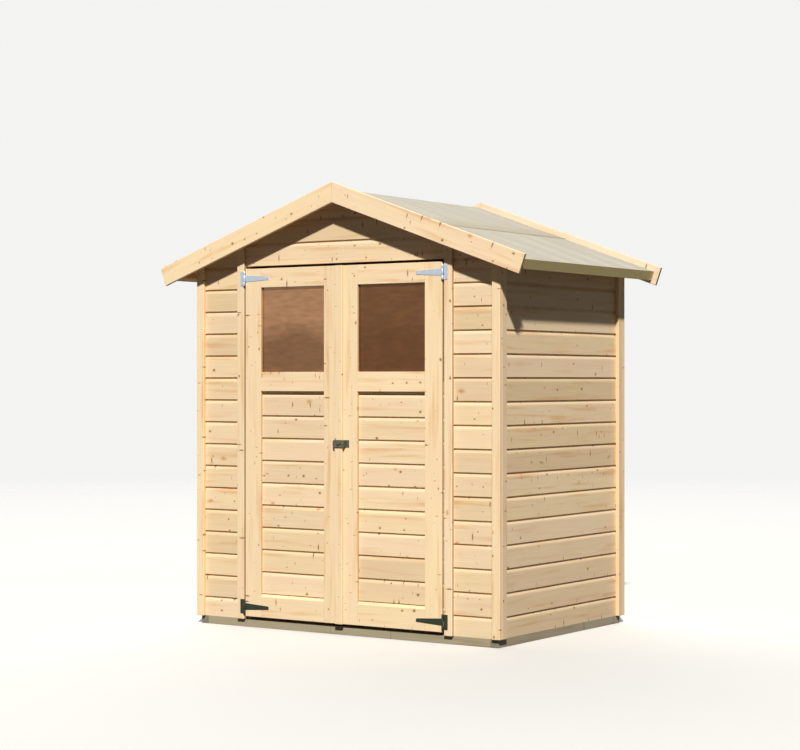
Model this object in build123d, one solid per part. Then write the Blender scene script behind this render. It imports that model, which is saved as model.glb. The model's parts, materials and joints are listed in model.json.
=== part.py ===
from build123d import *
import os
from math import cos, radians, sin, tan

# A small garden shed of profiled spruce boards with a felt roof and a pair of framed, glazed door leaves.
# Millimetres. X runs to the right along the door front, Y towards the back and Z up from the ground.
# The origin is on the ground, below the middle of the roof. Boards are 14 mm stock nailed to an inner frame.

# Walls, measured over the outer faces of the boards
wall_width = 1780.0
wall_depth = 1200.0
wall_height = 1780.0
board_thickness = 14.0

# Base timbers and floor
base_height = 40.0
base_width = 45.0
joist_count = 4
floor_thickness = 16.0
floor_clearance = 2.0

# Inner frame
stud_depth = 28.0
stud_width = 42.0
plate_drop = 20.0
head_rail_height = 42.0
head_rail_rise = 4.0
door_stop = 15.0

# Cover trims on the corners and beside the doors
trim_width = 45.0
trim_thickness = 19.0
arris = 2.0

# Roof
roof_pitch = 19.7
side_rise = 21.0
eaves_overhang = 156.0
verge_overhang = 77.0
deck_thickness = 16.0
batten_height = 30.0
batten_width = 40.0
ridge_beam_width = 45.0
ridge_beam_height = 70.0
felt_thickness = 2.5
felt_lap = 100.0
felt_ramp = 12.0
ridge_sheet_reach = 560.0
barge_width = 96.0
barge_thickness = 18.0
barge_lift = 32.5
barge_reach = 31.5

# Door leaves
opening_width = 1200.0
side_gap = 10.0
head_gap = 13.0
sill_gap = 15.0
meeting_gap = 6.0
leaf_frame_thickness = 14.0
leaf_board_thickness = 14.0
stile_width = 98.0
rail_height = 96.0
foot_rail_height = 116.0
foot_rail_bevel = 9.0
foot_rail_bevel_height = 14.0
window_height = 424.0
pane_thickness = 3.0
pane_lap = 15.0
bead_width = 30.0
bead_gap = 0.5

# Cover strip over the meeting edges, carried by the left leaf
cover_width = 45.0
cover_thickness = 16.0
cover_shift = 3.0
cover_clearance = 5.0

# T-hinges
hinge_inset = 49.0
hinge_plate_width = 22.0
hinge_plate_height = 72.0
hinge_gauge = 2.0
hinge_corner = 3.0
strap_reach = 152.0
strap_root = 34.0
strap_tip = 16.0
strap_tip_radius = 5.0
barrel_radius = 5.0
hinge_pin_radius = 2.5
hinge_head_height = 2.0
pin_clearance = 0.2
knuckle_gap = 0.5

# Hasp: a folding strap on the right leaf that drops over a staple on the cover strip
hasp_level = 936.0
hasp_width = 37.0
hasp_reach = 61.0
hasp_tip_radius = 12.0
hasp_axis_inset = 25.0
hasp_gauge = 2.0
hasp_stand = 3.0
hasp_barrel_radius = 4.0
hasp_pin_radius = 2.0
hasp_knuckle = 18.0
hasp_foot_width = 22.0
hasp_foot_height = 36.0
staple_inset = 16.0
staple_wire = 5.0
staple_span = 15.0
staple_reach = 14.0
staple_bend = 5.0
staple_plate_margin = 3.0
staple_plate_height = 22.0
slot_room = 2.0

# Values that follow from the driving dimensions
half_width = wall_width / 2
half_depth = wall_depth / 2
inner_half_width = half_width - board_thickness
inner_half_depth = half_depth - board_thickness
frame_half_width = inner_half_width - stud_depth
frame_half_depth = inner_half_depth - stud_depth
wall_top = base_height + wall_height
front_face = -half_depth - trim_thickness
slope = radians(roof_pitch)
ridge_under = wall_top + side_rise + half_width * tan(slope)
deck_apex = ridge_under + deck_thickness / cos(slope)
slope_length = (half_width + eaves_overhang) / cos(slope)
verge = half_depth + verge_overhang

opening_half = opening_width / 2
leaf_inner = meeting_gap / 2
leaf_outer = opening_half - side_gap
leaf_foot = base_height + sill_gap
leaf_head = wall_top - head_gap
leaf_middle = front_face + leaf_frame_thickness
leaf_back = leaf_middle + leaf_board_thickness
window_left = leaf_inner + stile_width
window_right = leaf_outer - stile_width
window_head = leaf_head - rail_height
window_sill = window_head - window_height
mid_rail_foot = window_sill - rail_height

hinge_axis_x = opening_half - side_gap / 2
hinge_axis_y = front_face - barrel_radius
hinge_levels = (leaf_foot + hinge_inset, leaf_head - hinge_inset)
cover_front = front_face - cover_thickness
cover_right = cover_width / 2 - cover_shift
cover_left = cover_right - cover_width
hasp_axis_x = leaf_inner + hasp_axis_inset
hasp_axis_y = cover_front - hasp_stand - hasp_gauge / 2
staple_x = cover_right - staple_inset


def block(x0, x1, y0, y1, z0, z1):
    """A squared timber or sheet between two corners."""
    return Pos((x0 + x1) / 2, (y0 + y1) / 2, (z0 + z1) / 2) * Box(x1 - x0, y1 - y0, z1 - z0)


def prism_along_y(outline, y0, y1):
    """An outline of (X, Z) points run from y0 to y1."""
    plane = Plane(origin=(0, y1, 0), x_dir=(1, 0, 0), z_dir=(0, -1, 0))
    return extrude(plane * make_face(Polyline(*outline, close=True)), amount=y1 - y0)


def prism_along_x(outline, x0, x1):
    """An outline of (Y, Z) points run from x0 to x1."""
    plane = Plane(origin=(x0, 0, 0), x_dir=(0, 1, 0), z_dir=(1, 0, 0))
    return extrude(plane * make_face(Polyline(*outline, close=True)), amount=x1 - x0)


def left_of(shape):
    """The same piece on the other side of the shed's middle plane."""
    return mirror(shape, about=Plane.YZ)


def pieces(*shapes):
    """Separate like pieces that share one node."""
    return Compound([shape.solid() for shape in shapes])


def pair(shape):
    """A piece and its mirror image, as one node."""
    return pieces(shape, left_of(shape))


def under_deck(x):
    """Height of the roof deck's underside at a distance x from the ridge."""
    return ridge_under - x * tan(slope)


def on_slope(along, above):
    """A point of the right-hand slope: so far down from the ridge, so far above the deck's top."""
    return along * cos(slope) + above * sin(slope), deck_apex - along * sin(slope) + above * cos(slope)


def at_ridge(above):
    """The point over the ridge line where a layer so far above the deck's top meets its mirror image."""
    return 0, deck_apex + above / cos(slope)


def eased(timber, axis):
    """Planed timber with its long edges eased."""
    return chamfer(timber.edges().filter_by(axis), arris)


def base_timbers():
    """Impregnated beams under the walls, with joists between the front and back ones."""
    inner_x = half_width - base_width
    inner_y = half_depth - base_width
    side = block(inner_x, half_width, -half_depth, half_depth, 0, base_height)
    front = block(-inner_x, inner_x, -half_depth, -inner_y, 0, base_height)
    back = block(-inner_x, inner_x, inner_y, half_depth, 0, base_height)
    bay = 2 * inner_x / joist_count
    middles = [-inner_x + bay * (index + 1 / 2) for index in range(joist_count)]
    joists = [
        block(middle - base_width / 2, middle + base_width / 2, -inner_y, inner_y, 0, base_height)
        for middle in middles
    ]
    return {
        "base_side_beams": pair(side),
        "base_cross_beams": pieces(front, back),
        "floor_joists": pieces(*joists),
    }


def floor():
    """Floor laid on the joists, just clear of the wall frame."""
    reach_x = frame_half_width - floor_clearance
    reach_y = frame_half_depth - floor_clearance
    return block(-reach_x, reach_x, -reach_y, reach_y, base_height, base_height + floor_thickness)


def walls():
    """Board walls: the front in two strips beside the doors, gables on top of the front and back."""
    strip = block(opening_half, half_width, -half_depth, -inner_half_depth, base_height, wall_top)
    side = prism_along_y(
        [
            (inner_half_width, base_height),
            (half_width, base_height),
            (half_width, under_deck(half_width)),
            (inner_half_width, under_deck(inner_half_width)),
        ],
        -inner_half_depth,
        inner_half_depth,
    )
    back = block(-half_width, half_width, inner_half_depth, half_depth, base_height, wall_top)
    gable_outline = [
        (-half_width, wall_top),
        (half_width, wall_top),
        (half_width, under_deck(half_width)),
        (0, ridge_under),
        (-half_width, under_deck(half_width)),
    ]
    return {
        "front_wall_left": left_of(strip),
        "front_wall_right": strip,
        "left_wall": left_of(side),
        "right_wall": side,
        "back_wall": back,
        "front_gable": prism_along_y(gable_outline, -half_depth, -inner_half_depth),
        "back_gable": prism_along_y(gable_outline, inner_half_depth, half_depth),
    }


def inner_frame():
    """Posts that the boards are nailed to, plates on the side walls, rails over the doors and at the back."""
    plate_foot = wall_top - plate_drop
    rail_foot = wall_top + head_rail_rise
    side_post_x = (frame_half_width, inner_half_width)
    corner = block(*side_post_x, inner_half_depth - stud_width, inner_half_depth, base_height, plate_foot)
    front_corner = mirror(corner, about=Plane.XZ)
    side_stud = block(*side_post_x, -stud_width / 2, stud_width / 2, base_height, plate_foot)
    stop_edge = opening_half - door_stop
    front_y = (-inner_half_depth, -frame_half_depth)
    back_y = (frame_half_depth, inner_half_depth)
    door_post = block(stop_edge, stop_edge + stud_width, *front_y, base_height, rail_foot)
    back_stud = block(-stud_width / 2, stud_width / 2, *back_y, base_height, rail_foot)
    right_posts = [corner, front_corner, side_stud, door_post]
    rail_half = stop_edge + stud_width
    rail = [
        block(-rail_half, rail_half, *reach, rail_foot, rail_foot + head_rail_height)
        for reach in (front_y, back_y)
    ]
    plate = prism_along_y(
        [
            (frame_half_width, plate_foot),
            (inner_half_width, plate_foot),
            (inner_half_width, under_deck(inner_half_width)),
            (frame_half_width, under_deck(frame_half_width)),
        ],
        -inner_half_depth,
        inner_half_depth,
    )
    half_beam = ridge_beam_width / 2
    beam_foot = ridge_under - ridge_beam_height
    beam = prism_along_y(
        [
            (-half_beam, beam_foot),
            (half_beam, beam_foot),
            (half_beam, under_deck(half_beam)),
            (0, ridge_under),
            (-half_beam, under_deck(half_beam)),
        ],
        -inner_half_depth,
        inner_half_depth,
    )
    return {
        "wall_posts": pieces(*right_posts, *[left_of(post) for post in right_posts], back_stud),
        "side_wall_plates": pair(plate),
        "gable_rails": pieces(*rail),
        "ridge_beam": beam,
    }


def upright_trim(x0, x1, y0, y1):
    """A cover trim from the wall's foot up to the roof deck, its top cut to the pitch."""
    outline = [(x0, base_height), (x1, base_height), (x1, under_deck(x1)), (x0, under_deck(x0))]
    return eased(prism_along_y(outline, y0, y1), Axis.Z)


def trims():
    """Corner trims, the front and back ones lapping over the side ones, and trims beside the doors."""
    outer = half_width + trim_thickness
    front = upright_trim(outer - trim_width, outer, front_face, -half_depth)
    back = upright_trim(outer - trim_width, outer, half_depth, half_depth + trim_thickness)
    side_front = upright_trim(half_width, outer, -half_depth, -half_depth + trim_width)
    side_back = upright_trim(half_width, outer, half_depth - trim_width, half_depth)
    jamb = upright_trim(opening_half, opening_half + trim_width, front_face, -half_depth)
    return {
        "front_corner_trims": pair(front),
        "back_corner_trims": pair(back),
        "side_corner_trims": pieces(side_front, side_back, left_of(side_front), left_of(side_back)),
        "door_jamb_trims": pair(jamb),
    }


def roof_deck():
    """Two board decks meeting at the ridge, each with a batten below its lower edge."""
    deck = prism_along_y(
        [
            (0, ridge_under),
            on_slope(slope_length, -deck_thickness),
            on_slope(slope_length, 0),
            (0, deck_apex),
        ],
        -verge,
        verge,
    )
    batten = prism_along_y(
        [
            on_slope(slope_length - batten_width, -deck_thickness),
            on_slope(slope_length - batten_width, -deck_thickness - batten_height),
            on_slope(slope_length, -deck_thickness - batten_height),
            on_slope(slope_length, -deck_thickness),
        ],
        -verge,
        verge,
    )
    return {
        "roof_deck_left": left_of(deck),
        "roof_deck_right": deck,
        "eaves_battens": pair(batten),
    }


def roof_felt():
    """Lower sheets turned down over the eaves, and a ridge sheet that laps over both of them."""
    lap_top = ridge_sheet_reach - felt_lap
    fold_foot = -deck_thickness - batten_height
    sheet = prism_along_y(
        [
            on_slope(lap_top, 0),
            on_slope(slope_length, 0),
            on_slope(slope_length, fold_foot),
            on_slope(slope_length + felt_thickness, fold_foot),
            on_slope(slope_length + felt_thickness, felt_thickness),
            on_slope(lap_top, felt_thickness),
        ],
        -verge,
        verge,
    )
    half_outline = [
        on_slope(lap_top - felt_ramp, 0),
        on_slope(lap_top, felt_thickness),
        on_slope(ridge_sheet_reach, felt_thickness),
        on_slope(ridge_sheet_reach, 2 * felt_thickness),
        on_slope(lap_top, 2 * felt_thickness),
        on_slope(lap_top - felt_ramp, felt_thickness),
    ]
    other_half = [(-x, z) for x, z in reversed(half_outline)]
    ridge_outline = [at_ridge(0), *half_outline, at_ridge(felt_thickness), *other_half]
    return {
        "roof_felt_left": left_of(sheet),
        "roof_felt_right": sheet,
        "roof_felt_ridge": prism_along_y(ridge_outline, -verge, verge),
    }


def bargeboards():
    """Boards on the sloping edges of both gables, mitred at the ridge and cut square at the eaves."""
    barge_foot = barge_lift - barge_width
    reach = slope_length + barge_reach
    outline = [
        at_ridge(barge_foot),
        on_slope(reach, barge_foot),
        on_slope(reach, barge_lift),
        at_ridge(barge_lift),
    ]
    down_slope = Axis((0, 0, 0), (cos(slope), 0, -sin(slope)))
    front = eased(prism_along_y(outline, -verge - barge_thickness, -verge), down_slope)
    back = mirror(front, about=Plane.XZ)
    return {
        "front_bargeboard_left": left_of(front),
        "front_bargeboard_right": front,
        "back_bargeboard_left": left_of(back),
        "back_bargeboard_right": back,
    }


def leaf_frame():
    """Stiles and rails of the right leaf, the foot rail with a weathered top edge."""
    stiles = [
        block(x, x + stile_width, front_face, leaf_middle, leaf_foot, leaf_head)
        for x in (leaf_inner, leaf_outer - stile_width)
    ]
    rails = [
        block(window_left, window_right, front_face, leaf_middle, foot, foot + rail_height)
        for foot in (mid_rail_foot, window_head)
    ]
    foot_rail_top = leaf_foot + foot_rail_height
    foot_rail = prism_along_x(
        [
            (front_face, leaf_foot),
            (leaf_middle, leaf_foot),
            (leaf_middle, foot_rail_top),
            (front_face + foot_rail_bevel, foot_rail_top),
            (front_face, foot_rail_top - foot_rail_bevel_height),
        ],
        window_left,
        window_right,
    )
    return stiles, [foot_rail, *rails]


def leaf_filling():
    """Boards behind the lower part of the right leaf, its pane, and the beads that hold the pane."""
    board_head = mid_rail_foot + rail_height / 2
    boards = block(leaf_inner, leaf_outer, leaf_middle, leaf_back, leaf_foot, board_head)
    pane_back = leaf_middle + pane_thickness
    pane = block(
        window_left - pane_lap,
        window_right + pane_lap,
        leaf_middle,
        pane_back,
        window_sill - pane_lap,
        window_head + pane_lap,
    )
    across = (window_left - bead_width, window_right + bead_width)
    upright = (window_sill + bead_gap, window_head - bead_gap)
    beads = [
        block(*across, pane_back, leaf_back, window_sill - bead_width, window_sill),
        block(*across, pane_back, leaf_back, window_head, window_head + bead_width),
        block(across[0], window_left, pane_back, leaf_back, *upright),
        block(window_right, across[1], pane_back, leaf_back, *upright),
    ]
    return boards, pane, beads


def cover_strip():
    """Strip over the meeting edges, rebated where it passes in front of the right leaf."""
    strip = block(cover_left, cover_right, cover_front, front_face, leaf_foot, leaf_head)
    front_edges = strip.edges().filter_by(Axis.Z).group_by(Axis.Y)[0]
    rebate = block(-leaf_inner, cover_right, front_face - cover_clearance, front_face, leaf_foot, leaf_head)
    return chamfer(front_edges, arris) - rebate


def upright_cylinder(radius, x, y, z0, z1):
    """A round bar or barrel on a vertical axis."""
    return Pos(x, y, (z0 + z1) / 2) * Cylinder(radius, z1 - z0)


def jamb_plate(level):
    """Fixed half of a right-hand T-hinge: a plate on the jamb, two knuckles and the headed pin."""
    half_height = hinge_plate_height / 2
    half_knuckle = strap_root / 2
    inner_edge = hinge_axis_x + barrel_radius + knuckle_gap
    outer_edge = opening_half + hinge_plate_width
    plate_y = (front_face - hinge_gauge, front_face)
    plate = block(inner_edge, outer_edge, *plate_y, level - half_height, level + half_height)
    corners = plate.edges().filter_by(Axis.Y).group_by(Axis.X)[-1]
    plate = fillet(corners, hinge_corner)
    axis = (hinge_axis_x, hinge_axis_y)
    spans = [
        (level - half_height, level - half_knuckle - knuckle_gap),
        (level + half_knuckle + knuckle_gap, level + half_height),
    ]
    for span in spans:
        plate += block(hinge_axis_x, inner_edge, *plate_y, *span)
        plate += upright_cylinder(barrel_radius, *axis, *span)
    head = half_height + hinge_head_height
    return plate + upright_cylinder(hinge_pin_radius, *axis, level - head, level + head)


def hinge_strap(level):
    """Moving half of a right-hand T-hinge: a tapered strap along the leaf with one knuckle on the pin."""
    half_knuckle = strap_root / 2
    tip_x = hinge_axis_x - strap_reach
    strap = prism_along_y(
        [
            (tip_x, level - strap_tip / 2),
            (hinge_axis_x, level - half_knuckle),
            (hinge_axis_x, level + half_knuckle),
            (tip_x, level + strap_tip / 2),
        ],
        front_face - hinge_gauge,
        front_face,
    )
    tip_edges = strap.edges().filter_by(Axis.Y).group_by(Axis.X)[0]
    strap = fillet(tip_edges, strap_tip_radius)
    reach = (level - half_knuckle, level + half_knuckle)
    axis = (hinge_axis_x, hinge_axis_y)
    strap += upright_cylinder(barrel_radius, *axis, *reach)
    return strap - upright_cylinder(hinge_pin_radius + pin_clearance, *axis, *reach)


def hasp_plate():
    """Fixed half of the hasp: a cranked foot on the right leaf, two knuckles and the pin."""
    half_foot = hasp_foot_height / 2
    half_knuckle = hasp_knuckle / 2
    web_right = hasp_axis_x + hasp_barrel_radius
    web_left = web_right - hasp_gauge
    low, high = hasp_level - half_foot, hasp_level + half_foot
    foot = block(web_left, web_left + hasp_foot_width, front_face - hasp_gauge, front_face, low, high)
    web = block(web_left, web_right, hasp_axis_y, front_face, low, high)
    axis = (hasp_axis_x, hasp_axis_y)
    middle = (hasp_level - half_knuckle - knuckle_gap, hasp_level + half_knuckle + knuckle_gap)
    plate = foot + web - upright_cylinder(hasp_barrel_radius + knuckle_gap, *axis, *middle)
    for span in ((low, middle[0]), (middle[1], high)):
        plate += upright_cylinder(hasp_barrel_radius, *axis, *span)
    return plate + upright_cylinder(hasp_pin_radius, *axis, low, high)


def hasp_strap():
    """Folding half of the hasp: a round-ended strap with a slot for the staple."""
    half_knuckle = hasp_knuckle / 2
    half_gauge = hasp_gauge / 2
    strap_y = (hasp_axis_y - half_gauge, hasp_axis_y + half_gauge)
    neck_end = hasp_axis_x - hasp_barrel_radius - knuckle_gap
    low, high = hasp_level - hasp_width / 2, hasp_level + hasp_width / 2
    strap = block(hasp_axis_x - hasp_reach, neck_end, *strap_y, low, high)
    tip_edges = strap.edges().filter_by(Axis.Y).group_by(Axis.X)[0]
    strap = fillet(tip_edges, hasp_tip_radius)
    reach = (hasp_level - half_knuckle, hasp_level + half_knuckle)
    strap += block(neck_end, hasp_axis_x, *strap_y, *reach)
    axis = (hasp_axis_x, hasp_axis_y)
    strap += upright_cylinder(hasp_barrel_radius, *axis, *reach)
    strap -= upright_cylinder(hasp_pin_radius + pin_clearance, *axis, *reach)
    slot_width = staple_wire + 2 * slot_room
    slot_length = staple_span + slot_width
    slot_plane = Plane(origin=(staple_x, strap_y[1], hasp_level), x_dir=(1, 0, 0), z_dir=(0, -1, 0))
    return strap - extrude(slot_plane * SlotOverall(slot_length, slot_width), amount=hasp_gauge)


def hasp_staple():
    """Bent wire staple on a small plate, fixed to the cover strip below the hasp's slot."""
    left, right = staple_x - staple_span / 2, staple_x + staple_span / 2
    front = cover_front - staple_reach
    route = [(left, cover_front), (left, front), (right, front), (right, cover_front)]
    path = FilletPolyline(*[(x, y, hasp_level) for x, y in route], radius=staple_bend)
    loop = sweep(Plane(origin=path @ 0, z_dir=path % 0) * Circle(staple_wire / 2), path=path)
    margin = staple_wire / 2 + staple_plate_margin
    half_height = staple_plate_height / 2
    plate = block(
        left - margin,
        right + margin,
        cover_front - hasp_gauge,
        cover_front,
        hasp_level - half_height,
        hasp_level + half_height,
    )
    return plate + loop


def doors():
    """Both leaves with their hinge straps, the cover strip and the hasp."""
    stiles, rails = leaf_frame()
    boards, pane, beads = leaf_filling()
    straps = [hinge_strap(level) for level in hinge_levels]
    right = {
        "stiles": pieces(*stiles),
        "rails": pieces(*rails),
        "boards": boards,
        "pane": pane,
        "beads": pieces(*beads),
        "hinge_straps": pieces(*straps),
    }
    leaves = {f"right_door_{name}": shape for name, shape in right.items()}
    leaves |= {f"left_door_{name}": left_of(shape) for name, shape in right.items()}
    plates = [jamb_plate(level) for level in hinge_levels]
    return leaves | {
        "hinge_jamb_plates": pieces(*plates, *[left_of(plate) for plate in plates]),
        "door_cover_strip": cover_strip(),
        "hasp_plate": hasp_plate(),
        "hasp_strap": hasp_strap(),
        "hasp_staple": hasp_staple(),
    }


def garden_shed():
    """Every piece of the shed, by name."""
    shed = base_timbers() | {"floor": floor()} | walls() | inner_frame() | trims()
    return shed | roof_deck() | roof_felt() | bargeboards() | doors()


os.makedirs("parts", exist_ok=True)
for node, shape in garden_shed().items():
    export_step(shape, f"parts/{node}.step")
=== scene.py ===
"""Looks of the garden shed: profiled boards, eased timber, felt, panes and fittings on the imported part."""

import json
import math
import random

import bmesh
import bpy
import numpy as np
from bpy.props import FloatProperty, FloatVectorProperty, IntProperty, PointerProperty
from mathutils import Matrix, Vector

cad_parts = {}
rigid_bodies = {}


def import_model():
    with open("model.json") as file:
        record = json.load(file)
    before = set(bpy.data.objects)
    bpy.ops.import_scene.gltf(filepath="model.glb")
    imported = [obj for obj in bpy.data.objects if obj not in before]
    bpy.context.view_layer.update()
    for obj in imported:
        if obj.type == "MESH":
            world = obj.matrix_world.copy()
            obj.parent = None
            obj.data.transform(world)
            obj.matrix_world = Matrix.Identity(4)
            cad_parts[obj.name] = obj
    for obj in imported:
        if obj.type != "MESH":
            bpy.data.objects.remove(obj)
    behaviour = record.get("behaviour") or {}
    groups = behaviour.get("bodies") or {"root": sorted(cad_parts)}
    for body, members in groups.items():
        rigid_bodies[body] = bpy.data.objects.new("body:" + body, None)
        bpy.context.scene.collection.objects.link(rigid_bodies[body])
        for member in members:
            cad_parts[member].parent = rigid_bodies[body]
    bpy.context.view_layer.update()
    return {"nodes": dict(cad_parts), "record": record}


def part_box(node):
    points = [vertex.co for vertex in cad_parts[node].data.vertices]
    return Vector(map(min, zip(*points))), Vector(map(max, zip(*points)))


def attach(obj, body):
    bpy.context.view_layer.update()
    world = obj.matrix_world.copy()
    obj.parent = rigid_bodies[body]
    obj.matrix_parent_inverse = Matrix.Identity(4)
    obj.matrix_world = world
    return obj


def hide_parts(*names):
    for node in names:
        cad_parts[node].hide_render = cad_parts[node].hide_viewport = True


bl_info = {
    "name": "Garden shed",
    "version": (1, 0, 0),
    "blender": (4, 5, 0),
    "location": "View3D > Sidebar > Shed",
    "description": "Dresses the packed garden shed with boards, timber, felt, panes and fittings",
    "category": "Object",
}

for leftover in list(bpy.data.objects):
    bpy.data.objects.remove(leftover)
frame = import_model()

X, Y, Z = Vector((1, 0, 0)), Vector((0, 1, 0)), Vector((0, 0, 1))
PITCH = math.radians(19.7)
DOWN_RIGHT = Vector((math.cos(PITCH), 0, -math.sin(PITCH)))
DOWN_LEFT = Vector((-math.cos(PITCH), 0, -math.sin(PITCH)))
TO_SUN = Vector((58, -91, 95))
TO_BACK_FILL = Vector((-0.68, 0.68, 0.29)).normalized()
TRIM_FACE = 0.619
FITTING_FACE = 0.621
BARGEBOARD_FACE = 0.6945
LOWER_HINGE, UPPER_HINGE, HASP_LEVEL = 0.104, 1.758, 0.936
BODY_OF = {node: body for body, nodes in frame["record"]["behaviour"]["bodies"].items() for node in nodes}


def length(name, description, default):
    """A length property in metres."""
    return FloatProperty(name=name, description=description, default=default, unit="LENGTH", precision=4)


def colour(name, description, default):
    """A colour property, linear red, green and blue."""
    return FloatVectorProperty(
        name=name, description=description, default=default, size=3, min=0, max=1, subtype="COLOR"
    )


class ShedSizes(bpy.types.PropertyGroup):
    """Sizes of what the CAD model leaves to the looks."""

    board_cover: length("Board cover", "Height that one wall board covers", 0.112)
    board_start: length("First joint", "Height at which the row of wall boards starts", 0.028)
    door_start: length("First door joint", "Height at which the row of door boards starts", 0.062)
    groove_height: length("Groove height", "Open shadow joint above each wall board", 0.008)
    groove_depth: length("Groove depth", "Depth of the shadow joint", 0.008)
    slope_height: length("Slope height", "Sloped shoulder under the shadow joint", 0.015)
    slope_depth: length("Slope depth", "How far the shoulder falls back", 0.0046)
    deck_cover: length("Deck board cover", "Width that one roof board covers", 0.096)
    floor_cover: length("Floor board cover", "Width that one floor board covers", 0.111)
    arris: length("Arris", "Eased edge of sawn timber", 0.0015)
    metal_edge: length("Metal edge", "Rounded edge of the fittings", 0.0005)
    nail_head: length("Nail head", "Diameter of a nail head", 0.0034)
    screw_head: length("Screw head", "Diameter of a screw head", 0.0075)
    seed: IntProperty(name="Seed", description="Seed of tone, grain and knots", default=7)


class ShedColours(bpy.types.PropertyGroup):
    """Colours of the finishes."""

    spruce: colour("Spruce", "Fresh planed spruce", (0.806, 0.626, 0.394))
    spruce_streak: colour("Spruce streaks", "Late wood and resin streaks", (0.66, 0.42, 0.21))
    spruce_knot: colour("Spruce knots", "Dead knots", (0.17, 0.085, 0.038))
    spruce_end: colour("Spruce ends", "End grain", (0.42, 0.27, 0.14))
    base: colour("Base timber", "Pressure impregnated timber", (0.35, 0.325, 0.255))
    base_streak: colour("Base streaks", "Streaks of the base timber", (0.23, 0.21, 0.14))
    felt: colour("Felt", "Mineral granules of the felt", (0.52, 0.493, 0.418))
    felt_dark: colour("Felt, dark", "Bitumen between the granules", (0.393, 0.364, 0.294))
    # Painted warm light: the felt turned down at the eaves is drawn brighter and yellower than the felt
    # above.
    felt_fold_painted_light: colour("Felt, fold", "Felt turned down over the eaves", (0.68, 0.555, 0.27))
    acrylic: colour("Acrylic", "Tinted pane", (0.15, 0.058, 0.016))
    # Painted reflection: the lighter brown that a pane shows towards its top.
    acrylic_painted_reflection: colour("Acrylic haze", "Haze on a tinted pane", (0.475, 0.247, 0.124))
    zinc: colour("Zinc", "Zinc plated steel", (0.60, 0.69, 0.80))
    green_steel: colour("Green steel", "Dark green lower hinges", (0.036, 0.046, 0.028))
    olive_steel: colour("Olive steel", "Chromated hasp", (0.15, 0.15, 0.105))
    nail: colour("Nail", "Nail heads", (0.46, 0.37, 0.26))
    floor: colour("Studio floor", "Floor under the shed", (0.72, 0.72, 0.71))
    floor_bounce: colour("Floor bounce", "Light that the floor throws back", (0.045, 0.042, 0.038))


class ShedLight(bpy.types.PropertyGroup):
    """Strength of the studio light."""

    key: FloatProperty(name="Key", description="Strength of the key light", default=5.1, min=0)
    key_size: FloatProperty(
        name="Key size", description="Angle that the key light spans", default=math.radians(2.5),
        subtype="ANGLE",
    )
    fill: FloatProperty(name="Fill", description="Strength of the even fill", default=0.03, min=0)
    back_fill: FloatProperty(
        name="Back fill", description="Strength of the fill behind", default=2.6, min=0
    )


def tinted(base, factors):
    """A colour with each part scaled."""
    return [part * factor for part, factor in zip(base, factors)]


class Shader:
    """Adds and links the nodes of one material."""

    def __init__(self, name):
        self.material = bpy.data.materials.new(name)
        self.material.use_nodes = True
        self.tree = self.material.node_tree
        self.tree.nodes.clear()
        self.surface = self.add("ShaderNodeBsdfPrincipled")
        output = self.tree.nodes.new("ShaderNodeOutputMaterial")
        self.tree.links.new(self.surface.outputs[0], output.inputs["Surface"])

    def put(self, socket, value):
        if isinstance(value, bpy.types.NodeSocket):
            self.tree.links.new(value, socket)
        else:
            socket.default_value = value

    def add(self, kind, inputs=None, **settings):
        node = self.tree.nodes.new(kind)
        for key, value in settings.items():
            setattr(node, key, value)
        for key, value in (inputs or {}).items():
            self.put(node.inputs[key], value)
        return node

    def set(self, **values):
        for key, value in values.items():
            self.put(self.surface.inputs[key.replace("_", " ").title().replace("Ior", "IOR")], value)

    def attribute(self, name, output):
        return self.add("ShaderNodeAttribute", attribute_name=name).outputs[output]

    def math(self, operation, a, b=0.0, clamp=False):
        return self.add("ShaderNodeMath", {0: a, 1: b}, operation=operation, use_clamp=clamp).outputs[0]

    def scaled(self, vector, factors):
        return self.add("ShaderNodeVectorMath", {0: vector, 1: factors}, operation="MULTIPLY").outputs[0]

    def plus(self, vector, other):
        return self.add("ShaderNodeVectorMath", {0: vector, 1: other}, operation="ADD").outputs[0]

    def parts(self, vector):
        return self.add("ShaderNodeSeparateXYZ", {0: vector}).outputs

    def noise(self, vector, detail=2.0, scale=1.0, distortion=0.0):
        return self.add(
            "ShaderNodeTexNoise",
            {"Vector": vector, "Scale": scale, "Detail": detail, "Distortion": distortion},
        ).outputs["Fac"]

    def spread(self, value, low, high, to_low=0.0, to_high=1.0):
        sockets = {"Value": value, "From Min": low, "From Max": high, "To Min": to_low, "To Max": to_high}
        return self.add("ShaderNodeMapRange", sockets, clamp=True).outputs[0]

    def mix(self, factor, a, b, blend="MIX"):
        node = self.add("ShaderNodeMix", data_type="RGBA", blend_type=blend)
        for index, value in ((0, factor), (6, a), (7, b)):
            if not isinstance(value, (bpy.types.NodeSocket, float, int)):
                value = (*value, 1.0)
            self.put(node.inputs[index], value)
        return node.outputs[2]

    def scale_tint(self, tint, level):
        grey = self.add("ShaderNodeCombineColor", {0: level, 1: level, 2: level}).outputs[0]
        return self.mix(1.0, tint, grey, "MULTIPLY")

    def bump(self, height, strength, distance):
        node = self.add("ShaderNodeBump", {"Height": height, "Strength": strength, "Distance": distance})
        self.put(self.surface.inputs["Normal"], node.outputs[0])


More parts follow.
